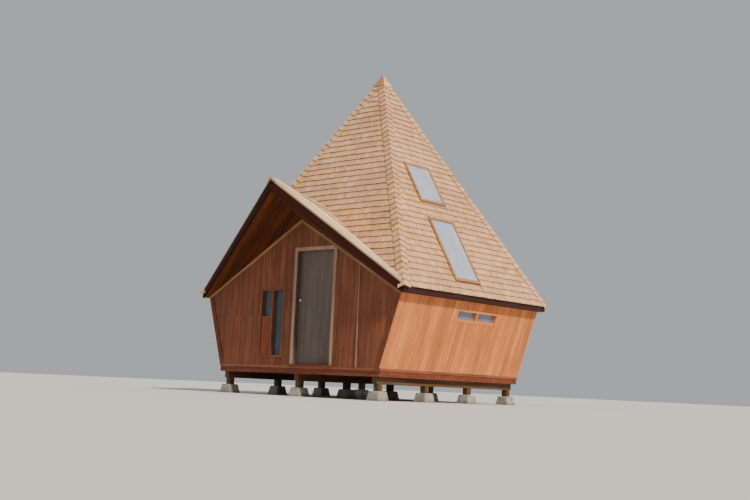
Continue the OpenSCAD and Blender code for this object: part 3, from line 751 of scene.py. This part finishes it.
# The two roof windows' spans. The widest step between their points' heights that is shorter
# than a window lies between the two.
def skylightHoles():
    windowLength = 0.6
    points = pointsOn(facetOf(*facets["right"])[0], "skylight_frames")
    levels = sorted(p.y for p in points)
    steps = [(b - a, (a + b) / 2) for a, b in zip(levels, levels[1:]) if b - a < windowLength]
    split = max(steps)[1]
    return [spanOf([p for p in points if p.y < split]), spanOf([p for p in points if p.y >= split])]


# Boards in rows along the prow's edges, on a fillet that lifts their backs. Their slopes against
# the roof are given at shares of the way from the tip to the eave's corner.
verge = {"rows": 3, "step": 0.042, "lap": 0.015, "thickness": 0.012,
         "places": (0.0, 0.28, 0.6, 1.0), "slopes": (0.04, 0.34, 0.32, -0.06),
         "filletStart": 0.002, "filletInset": 0.005, "filletLow": 0.001, "courseGap": 0.004}
vergeReach = verge["rows"] * verge["step"] + verge["lap"]

for name in ("right", "back", "left"):
    layFacet("shingles_" + name, facets[name], {0: foldsOf(name)},
             holes=skylightHoles() if name == "right" else ())
layFacet("shingles_front", facets["front"],
         {side: foldsOf("front") + [valley] for side, valley in valleys.items()},
         groupOf=lambda u: 1 if u > roofX else -1)
for side, name in prowSides.items():
    middle = middleOf(facets[name])
    layFacet("shingles_" + name, facets[name],
             {0: [((flipX(frontRight, side), valleyTop), facets["front"], middle),
                  ((tip, valleyTop), facets[prowSides[-side]], middle)]},
             first=vergeReach + verge["courseGap"], material=prowShingles)


def vergeSlope(share):
    stops = list(zip(verge["places"], verge["slopes"]))
    for (a, low), (b, high) in zip(stops, stops[1:]):
        if share <= b:
            return low + (high - low) * max(0.0, share - a) / (b - a)
    return verge["slopes"][-1]


def layVerge(side, name):
    surface, length = facetOf(*facets[prowSides[side]])[:2]
    capTop = max(p.z for p in pointsOn(surface, "prow_edge_cap_" + name))
    turn = surface @ Matrix.Translation((length / 2, 0, 0)) @ Matrix.Rotation(math.pi / 2, 4, "Z")
    # Near and far edge, lower and upper face, and whether the row is the fillet
    rows = [(verge["filletStart"], vergeReach - verge["filletInset"], verge["filletLow"], capTop, True)]
    for index in range(verge["rows"]):
        start, base = index * verge["step"], capTop + index * verge["thickness"]
        rows.append((start, start + verge["step"] + verge["lap"], base, base + verge["thickness"], False))
    bm = newBoards()
    for near, far, low, high, fillet in rows:
        middleX, middleZ = (near + far) / 2, (low + high) / 2
        size = Matrix.Diagonal((far - near, length + spare, high - low, 1))
        board = newBoards()
        bmesh.ops.create_cube(board, size=1, matrix=Matrix.Translation((middleX, 0, middleZ)) @ size)
        if not fillet:
            soften(board, board.edges[:], boardBevel)
        for share in verge["places"][1:-1]:
            cross = Vector((0, (0.5 - share) * length * side, 0))
            bmesh.ops.bisect_plane(board, geom=everythingIn(board), dist=1e-6, plane_co=cross,
                                   plane_no=alongY)
        for vert in board.verts:
            if not fillet or vert.co.z > middleZ:
                vert.co.z += vert.co.x * vergeSlope(0.5 - vert.co.y / length * side)
            if fillet and vert.co.z > middleZ and vert.co.x > middleX:
                vert.co.z += (verge["rows"] - 1) * verge["thickness"]
        # The rows' long front edges are darkened as painted shade
        placeOnce(bm, board, turn, shadeFrontEdge=not fillet)
    clipMiddle(bm, side)
    clipUnderHip(bm, side)
    newPiece("prow_verge_boards_" + name, bm, vergeBoards)


for side, name in sides:
    layVerge(side, name)


# Caps over the hips, a row of shingles on each side of each fold

hipCap = {"width": 0.15, "beyond": 0.045, "lift": 0.013}
point = {"height": 0.24, "thickness": 0.012}


def layHipCaps():
    bm = newBoards()
    for (one, two), corner in hips.items():
        run = apex - corner
        for side, other in ((one, two), (two, one)):
            facet = facets[side]
            middle = middleOf(facet)
            inward = (middle - corner) - (middle - corner).project(run)
            surface = axes(corner, run, normalOf(facet))
            across = hipCap["width"] / 2 - hipCap["beyond"]
            across *= 1 if inward.dot(surface.col[0].xyz) > 0 else -1
            strip = newBoards()
            v = -shingle["overhang"]
            while v < run.length - point["height"]:
                layShingle(strip, surface, across, v, hipCap["width"], lift=hipCap["lift"])
                v += shingle["exposure"]
            mitre(strip, (corner, apex), facet, facets[other], middle)
            gather(bm, strip)
    newPiece("hip_cap_shingles", bm, roofShingles)


# Two boards that meet over the prow's ridge

ridge = {"width": 0.13, "thickness": 0.018, "inward": 0.03, "start": 0.02, "proud": 0.004}


def layRidgeBoards():
    bm = newBoards()
    run = valleyTop - tip
    for side, name in prowSides.items():
        out = normalOf(facets[name])
        inward = Vector((side, 0, 0)) - out * out.x * side
        inward.normalize()
        strip = newBoards()
        start = tip + run.normalized() * ridge["start"]
        height = buttHeight + ridge["thickness"] / 2
        middle = start + run * 0.5 + inward * ridge["inward"] + out * height
        addBoard(strip, axes(middle, run, out), ridge["width"], run.length + spare, ridge["thickness"])
        mitre(strip, (tip, valleyTop), facets[name], facets[prowSides[-side]], middleOf(facets[name]))
        clip(strip, valleyTop, normalOf(facets["front"]) * -1)
        clip(strip, tip - alongY * ridge["proud"], -alongY)
        gather(bm, strip)
    newPiece("prow_ridge_boards", bm, creamBoards, replaced=["prow_ridge_cap"])


# The roof's point has a folded cap on top of the hip caps

def makePointCap():
    bm = newBoards()
    share = point["height"] / (apex.z - eaveZ)
    lift = (buttHeight + hipCap["lift"] + point["thickness"]) / normalOf(facets["right"]).z
    bmesh.ops.create_cone(bm, cap_ends=False, segments=4, radius1=math.sqrt(0.5), radius2=0, depth=1)
    bmesh.ops.rotate(bm, cent=(0, 0, 0), matrix=Matrix.Rotation(math.pi / 4, 3, "Z"), verts=bm.verts[:])
    size = Vector((2 * roofX * share, (backRight.y - frontRight.y) * share, point["height"]))
    bmesh.ops.scale(bm, vec=size, verts=bm.verts[:])
    bmesh.ops.translate(bm, vec=(apex.x, apex.y, apex.z - point["height"] / 2 + lift), verts=bm.verts[:])
    bmesh.ops.recalc_face_normals(bm, faces=bm.faces[:])
    bmesh.ops.solidify(bm, geom=bm.faces[:], thickness=point["thickness"])
    mapGrain(bm, bm.faces[:])
    newPiece("point_cap", bm, pointShingles, replaced=["apex_cap"])


layHipCaps()
layRidgeBoards()
makePointCap()
print("caps laid")


# Pale starter boards under the first course at the eaves

starter = {"width": 0.09, "thickness": 0.011, "past": 0.014}
for name in ("right", "back", "left"):
    start, end, top = facets[name]
    surface = facetOf(*facets[name])[0]
    out, up = surface.col[2].xyz, surface.col[1].xyz
    middle = (start + end) / 2 + up * (starter["width"] / 2 - starter["past"])
    middle += out * starter["thickness"] / 2
    bm = newBoards()
    addBoard(bm, axes(middle, end - start, out), starter["width"], (end - start).length + spare,
             starter["thickness"])
    for fold, other, keep in foldsOf(name):
        mitre(bm, fold, facets[name], other, keep)
    newPiece("eave_starter_" + name, bm, creamBoards)


# Wall boards, upright on the end walls and along the lean on the side walls. Left of jointEnd
# the front wall's boards are in two lengths that meet at the height of joint.

cladding = {"width": 0.138, "widths": (0.97, 1, 1.03), "gap": 0.003, "thickness": 0.008,
            "thinnest": 0.85, "joint": 1.34, "jointEnd": -0.95, "jointGap": 0.004,
            "least": 0.02, "reach": 0.03, "slack": 1e-4, "sideLength": 1.35}
wallReach = halfFloor + 0.5  # past the leaning corners


# A board's edge moves to an opening's edge that it nearly reaches
def layColumns(bm, surface, left, right, low, high, holes, jointEnd=None):
    marks = sorted({round(x, 4) for hole in holes for x in hole[:2] if left < x < right})
    least, reach, slack = (cladding[key] for key in ("least", "reach", "slack"))
    edges, x = [left], left
    while x < right - least:
        step = cladding["width"] * dice.choice(cladding["widths"])
        passed = [m for m in marks if x + least < m < x + step + reach]
        x = passed[0] if passed else min(x + step, right)
        edges.append(x)
    for a, b in zip(edges, edges[1:]):
        lengths = [(low, high)]
        if jointEnd is not None and a < jointEnd:
            lengths = [(low, cladding["joint"]), (cladding["joint"], high)]
        for foot, head in lengths:
            for _, _, c, d in aroundHoles((a + slack, b - slack, foot, head), holes):
                middle = Vector(((a + b) / 2, (c + d) / 2, cladding["thickness"] / 2))
                matrix = surface.copy()
                matrix.translation = surface @ middle
                addBoard(bm, matrix, b - a - cladding["gap"], d - c - cladding["jointGap"] / 2,
                         cladding["thickness"] * dice.uniform(cladding["thinnest"], 1))


# Trims a wall's boards to the corner boards, which follow the side walls' lean
def clipCorners(bm):
    for side in prowSides:
        clipToLean(bm, side, house["cornerBoard"])


def boardFront():
    sillDrop = 0.01
    surface = axes(Vector((0, frontY, 0)), alongZ, -alongY)
    left, right, _, upper = spanOf(pointsOn(surface, "door_frame"))
    holes = [(left, right, floorTop - sillDrop, upper), spanOf(pointsOn(surface, "front_window_frame"))]
    bm = newBoards()
    layColumns(bm, surface, -wallReach, wallReach, floorTop, gable.z + spare, holes,
               jointEnd=cladding["jointEnd"])
    for side in prowSides:
        clip(bm, gable, Vector((side * soffitFall, 0, 1)))
    clipCorners(bm)
    newPiece("front_wall_boards", bm, shadedWallBoards)


def boardBack():
    surface = axes(Vector((0, backY, 0)), alongZ, alongY)
    bm = newBoards()
    layColumns(bm, surface, -wallReach, wallReach, floorTop, soffitLine, [])
    clipCorners(bm)
    newPiece("back_wall_boards", bm, shadedWallBoards)


def boardSide(side, name):
    surface = axes(Vector((side * halfFloor, 0, floorTop)), flipX(leanUp, side), flipX(leanOut, side))
    inverse = surface.inverted()
    frames = [v.co for v in nodeOf["side_window_frames"].data.vertices if v.co.x * side > 0]
    hole = spanOf([inverse @ co for co in frames])
    margin = house["cornerBoardThickness"]
    ends = sorted((inverse @ Vector((side * halfFloor, y, floorTop))).x
                  for y in (frontY - margin, backY + margin))
    bm = newBoards()
    layColumns(bm, surface, ends[0], ends[1], 0.0, cladding["sideLength"], [hole])
    clip(bm, Vector((0, 0, soffitLine)), alongZ)
    newPiece(name + "_wall_boards", bm, sunlitSideBoards)


boardFront()
boardBack()
for side, name in sides:
    boardSide(side, name)
print("walls boarded")


# Soffit boards under the prow, running with the fascia

soffit = {"width": 0.115, "thickness": 0.006, "gap": 0.003, "edge": 0.034, "rows": 9, "spare": 1.2}
soffitRun = Vector((roofX, frontRight.y - tip.y, 0))
soffitRun.z = -soffitFall * soffitRun.x - soffitLift * soffitRun.y
soffitDown = Vector((-soffitFall, -soffitLift, -1)).normalized()
soffitTip = gable + Vector((0, tip.y - frontY, -soffitLift * (tip.y - frontY)))


def boardSoffit(side, name):
    bm = newBoards()
    inward = soffitDown.cross(soffitRun).normalized()
    inward = inward if inward.y > 0 else -inward
    for index in range(soffit["rows"]):
        distance = soffit["edge"] + (index + 0.5) * soffit["width"]
        middle = soffitTip + soffitRun * 0.5 + inward * distance + soffitDown * soffit["thickness"] / 2
        matrix = axes(flipX(middle, side), flipX(soffitRun, side), flipX(soffitDown, side))
        addBoard(bm, matrix, soffit["width"] - soffit["gap"], soffitRun.length + soffit["spare"],
                 soffit["thickness"])
    clipMiddle(bm, side)
    clip(bm, Vector((0, frontY, 0)), alongY)
    clipUnderHip(bm, side)
    newPiece("prow_soffit_boards_" + name, bm, soffitBoards)


for side, name in sides:
    boardSoffit(side, name)
print("soffit boarded")


# Boards along the gable, under the soffit

rake = {"width": 0.045, "thickness": 0.024, "middle": 1.2, "length": 3.0, "inset": 0.002}
bm = newBoards()
for side in prowSides:
    strip = newBoards()
    run = Vector((1, 0, -soffitFall)).normalized()
    drop = Vector((-soffitFall, 0, -1)).normalized()
    middle = gable + run * rake["middle"] + drop * rake["width"] / 2
    middle.y -= rake["thickness"] / 2
    addBoard(strip, axes(flipX(middle, side), flipX(run, side), -alongY), rake["width"], rake["length"],
             rake["thickness"])
    clipMiddle(strip, side)
    clipToLean(strip, side, rake["inset"])
    gather(bm, strip)
newPiece("gable_trim", bm, gableTrim)


# Upright batten right of the door

batten = {"width": 0.022, "thickness": 0.012, "height": 1.72, "x": 1.36, "out": 0.014}
bm = newBoards()
high = floorTop + batten["height"]
middle = Vector((batten["x"], frontY - batten["out"], (floorTop + high) / 2))
addBoard(bm, axes(middle, alongZ, -alongY), batten["width"], high - floorTop, batten["thickness"])
newPiece("front_batten", bm, jambBoards)


# Strip round the floor's edge, over the rim boards

floorStrip = {"height": 0.042, "thickness": 0.01}
middleY, depth = (frontY + backY) / 2, backY - frontY
runs = ((0, frontY, alongX, -alongY, 2 * halfFloor), (0, backY, alongX, alongY, 2 * halfFloor),
        (halfFloor, middleY, alongY, alongX, depth), (-halfFloor, middleY, alongY, -alongX, depth))
bm = newBoards()
for x, y, along, out, length in runs:
    middle = Vector((x, y, floorTop - floorStrip["height"] / 2)) + out * floorStrip["thickness"] / 2
    addBoard(bm, axes(middle, along, out), floorStrip["height"], length + 2 * floorStrip["thickness"],
             floorStrip["thickness"])
newPiece("floor_edge_strip", bm, edgeStrip)


# Wooden panel in the lower part of the front window's left pane, with a rail over it

panel = {"share": 0.575, "boards": 2, "thickness": 0.016, "depth": 0.004, "rail": 0.03,
         "railThickness": 0.022, "gap": 0.002}
surface = axes(Vector((0, frontY, 0)), alongZ, -alongY)
points = pointsOn(surface, "front_window_glass")
left, right, low, high = spanOf(points)
right = max(p.x for p in points if p.x < (left + right) / 2)
tall = (high - low) * panel["share"]
width = (right - left) / panel["boards"]
bm = newBoards()
for index in range(panel["boards"]):
    middle = Vector((left + (index + 0.5) * width, low + tall / 2,
                     -panel["depth"] - panel["thickness"] / 2))
    addBoard(bm, axes(surface @ middle, alongZ, -alongY), width - panel["gap"], tall - panel["gap"],
             panel["thickness"])
middle = Vector(((left + right) / 2, low + tall + panel["rail"] / 2,
                 -panel["depth"] - panel["railThickness"] / 2))
addBoard(bm, axes(surface @ middle, alongX, -alongY), panel["rail"], right - left - panel["gap"],
         panel["railThickness"])
newPiece("front_window_panel", bm, windowPanel)


# Floor planks

plank = {"width": 0.12, "gap": 0.003, "bevel": 0.002}
deckLow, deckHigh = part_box("floor_deck")
deckMiddle = (deckLow + deckHigh) / 2
count = round((deckHigh.x - deckLow.x) / plank["width"])
width = (deckHigh.x - deckLow.x) / count
bm = newBoards()
for index in range(count):
    middle = Vector((deckLow.x + (index + 0.5) * width, deckMiddle.y, deckMiddle.z))
    addBoard(bm, axes(middle, alongY, alongZ), width - plank["gap"], deckHigh.y - deckLow.y,
             deckHigh.z - deckLow.z, bevel=plank["bevel"])
newPiece("floor_planks", bm, floorPlanks, replaced=["floor_deck"])


# Concrete piers, cast with soft edges, each where the source has one

pier = {"topSide": 0.2, "bevel": 0.014, "segments": 3}
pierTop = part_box("piers")[1].z
foot = {(round(v.co.x, 3), round(v.co.y, 3)) for v in nodeOf["piers"].data.vertices if v.co.z < 0.001}
columns = sorted({x for x, y in foot})
rows = sorted({y for x, y in foot})
bm = newBoards()
for left, right in zip(columns[::2], columns[1::2]):
    for near, far in zip(rows[::2], rows[1::2]):
        block = newBoards()
        size = (right - left, far - near, pierTop, 1)
        bmesh.ops.create_cube(block, size=1, matrix=Matrix.Diagonal(size))
        for vert in block.verts:
            vert.co.z += pierTop / 2
            if vert.co.z > pierTop / 2:
                vert.co.x *= pier["topSide"] / size[0]
                vert.co.y *= pier["topSide"] / size[1]
        raised = [edge for edge in block.edges if max(v.co.z for v in edge.verts) > pierTop / 2]
        soften(block, raised, pier["bevel"], pier["segments"])
        placeOnce(bm, block, Matrix.Translation(((left + right) / 2, (near + far) / 2, 0)))
newPiece("pier_blocks", bm, concrete, replaced=["piers"])
print("floor and piers ready")


# The stage: camera, lights and floor

view = {"eye": (13.006, -14.243, 0.223), "turn": 41.727, "pitch": 7.057, "roll": 2.621, "lens": 52.8}
# Way towards each light, strength, angle and colour
lamps = {"keyLight": ((0.73, -0.15, 0.67), 5.1, 5, (1.0, 0.92, 0.77)),
         "fillLight": ((-0.3, -0.85, 0.35), 0.3, 60, (0.9, 0.95, 1.0))}
studio = {"air": (0.86, 0.9, 0.95, 1), "airStrength": 0.5, "floor": tint(205, 203, 198),
          "floorRoughness": 0.9, "floorSize": 60}


def makeCamera():
    turn, pitch, roll = (math.radians(view[key]) for key in ("turn", "pitch", "roll"))
    ahead = Vector((-math.sin(turn) * math.cos(pitch), math.cos(turn) * math.cos(pitch), math.sin(pitch)))
    level = Vector((math.cos(turn), math.sin(turn), 0))
    lifted = level.cross(ahead)
    right = level * math.cos(roll) + lifted * math.sin(roll)
    up = lifted * math.cos(roll) - level * math.sin(roll)
    camera = bpy.data.objects.new("camera", bpy.data.cameras.new("camera"))
    camera.data.lens = view["lens"]
    camera.data.sensor_width = 36
    camera.data.clip_end = 200
    turned = Matrix((right, up, -ahead)).transposed().to_4x4()
    camera.matrix_world = Matrix.Translation(view["eye"]) @ turned
    scene.collection.objects.link(camera)
    scene.camera = camera


def addSun(name, towards, strength, angle, colour):
    lamp = bpy.data.lights.new(name, "SUN")
    lamp.energy = strength
    lamp.angle = math.radians(angle)
    lamp.color = colour
    light = bpy.data.objects.new(name, lamp)
    light.rotation_euler = Vector(towards).to_track_quat("Z", "Y").to_euler()
    scene.collection.objects.link(light)


def makeStudio():
    world = bpy.data.worlds.new("studio")
    world.use_nodes = True
    air = world.node_tree.nodes["Background"]
    air.inputs["Color"].default_value = studio["air"]
    air.inputs["Strength"].default_value = studio["airStrength"]
    scene.world = world
    bm = bmesh.new()
    bmesh.ops.create_grid(bm, x_segments=1, y_segments=1, size=studio["floorSize"])
    mesh = meshOf(bm, "studioFloor")
    studioFloor = bpy.data.objects.new("studioFloor", mesh)
    material, tree, shader = newMaterial("studioFloor")
    shader.inputs["Base Color"].default_value = studio["floor"]
    shader.inputs["Roughness"].default_value = studio["floorRoughness"]
    mesh.materials.append(material)
    scene.collection.objects.link(studioFloor)
    studioFloor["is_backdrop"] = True


makeCamera()
for name, lamp in lamps.items():
    addSun(name, *lamp)
makeStudio()

bpy.context.view_layer.update()
low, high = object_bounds()
print("scene ready")
